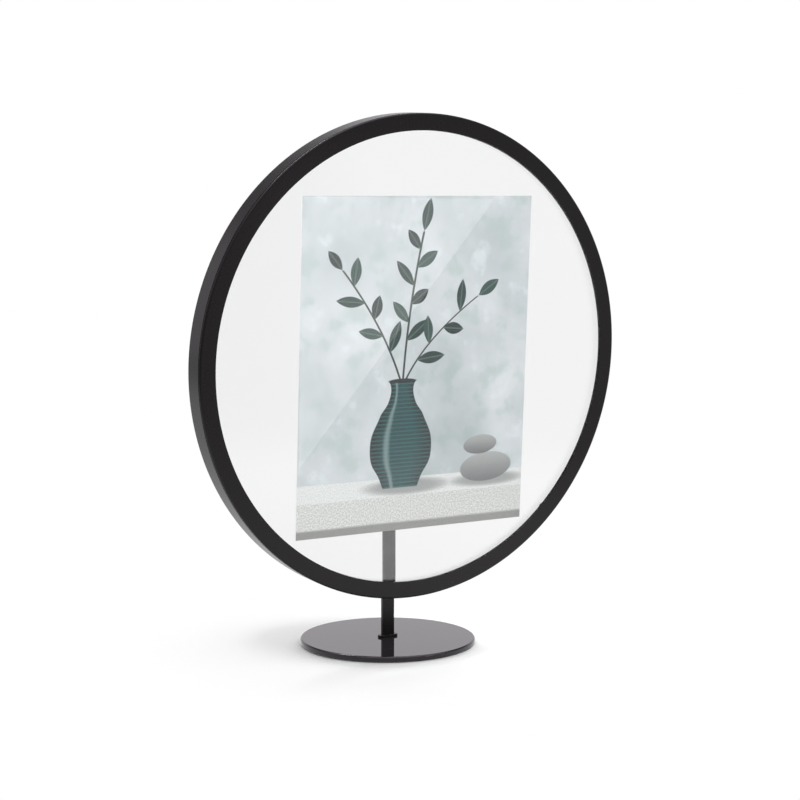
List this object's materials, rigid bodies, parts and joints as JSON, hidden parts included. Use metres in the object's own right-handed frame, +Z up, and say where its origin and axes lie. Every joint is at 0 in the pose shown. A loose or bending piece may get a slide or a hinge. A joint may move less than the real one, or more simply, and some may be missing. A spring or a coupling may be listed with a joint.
{
  "type": "picture frame",
  "caption": "Round table-top picture frame: a deep hoop holds a print floating between glass discs, on a strip stem with a friction tilt hinge and a round base.",
  "frame": {"origin": "centre of the base's underside, where it stands on the table", "axes": "+Z up, -Y towards the side that the picture faces, +X to the right for a viewer in front"},
  "size_m": [0.3688, 0.1374, 0.4119],
  "materials": {
    "satin_black": "satin",
    "gloss_black": "gloss",
    "zinc_steel": "satin",
    "spring_steel": "satin",
    "nylon": "matte",
    "clear_glass": "gloss",
    "photo_paper": "satin",
    "gasket_black": "matte",
    "foam_tape": "matte",
    "foot_pad": "matte"
  },
  "bodies": {
    "stand": {"base_pad": "foot_pad", "base_disc": "gloss_black", "foot_screws": "zinc_steel", "stem_foot": "satin_black", "stem": "satin_black"},
    "framed_glass": {"frame_ring": "satin_black", "lip_gasket": "gasket_black", "front_glass": "clear_glass", "photo_print": "photo_paper", "rear_glass": "clear_glass", "bond_pad": "foam_tape", "glass_hub": "satin_black", "tilt_screw": "zinc_steel", "friction_washer_left": "nylon", "friction_washer_right": "nylon", "disc_spring": "spring_steel", "tilt_nut": "zinc_steel", "clip_lug_1": "satin_black", "clip_lug_2": "satin_black", "clip_lug_3": "satin_black", "clip_lug_4": "satin_black", "clip_screw_1": "zinc_steel", "clip_screw_2": "zinc_steel", "clip_screw_3": "zinc_steel", "clip_screw_4": "zinc_steel"},
    "turn_clip_1": {"turn_clip_1": "satin_black"},
    "turn_clip_2": {"turn_clip_2": "satin_black"},
    "turn_clip_3": {"turn_clip_3": "satin_black"},
    "turn_clip_4": {"turn_clip_4": "satin_black"}
  },
  "joints": [
    {"name": "tilt", "type": "hinge", "parent": "stand", "child": "framed_glass", "pos_m": [0, -0.02418, 0.22797], "axis": [-1, 0, 0], "range_deg": [-5, 20]},
    {"name": "clip_turn_1", "type": "hinge", "parent": "framed_glass", "child": "turn_clip_1", "pos_m": [0.1271, -0.04426, 0.35419], "axis": [0, -0.9986, -0.0523], "range_deg": [-90, 90]},
    {"name": "clip_turn_2", "type": "hinge", "parent": "framed_glass", "child": "turn_clip_2", "pos_m": [-0.1271, -0.04426, 0.35419], "axis": [0, -0.9986, -0.0523], "range_deg": [-90, 90]},
    {"name": "clip_turn_3", "type": "hinge", "parent": "framed_glass", "child": "turn_clip_3", "pos_m": [-0.1271, -0.03096, 0.10034], "axis": [0, -0.9986, -0.0523], "range_deg": [-90, 90]},
    {"name": "clip_turn_4", "type": "hinge", "parent": "framed_glass", "child": "turn_clip_4", "pos_m": [0.1271, -0.03096, 0.10034], "axis": [0, -0.9986, -0.0523], "range_deg": [-90, 90]}
  ]
}
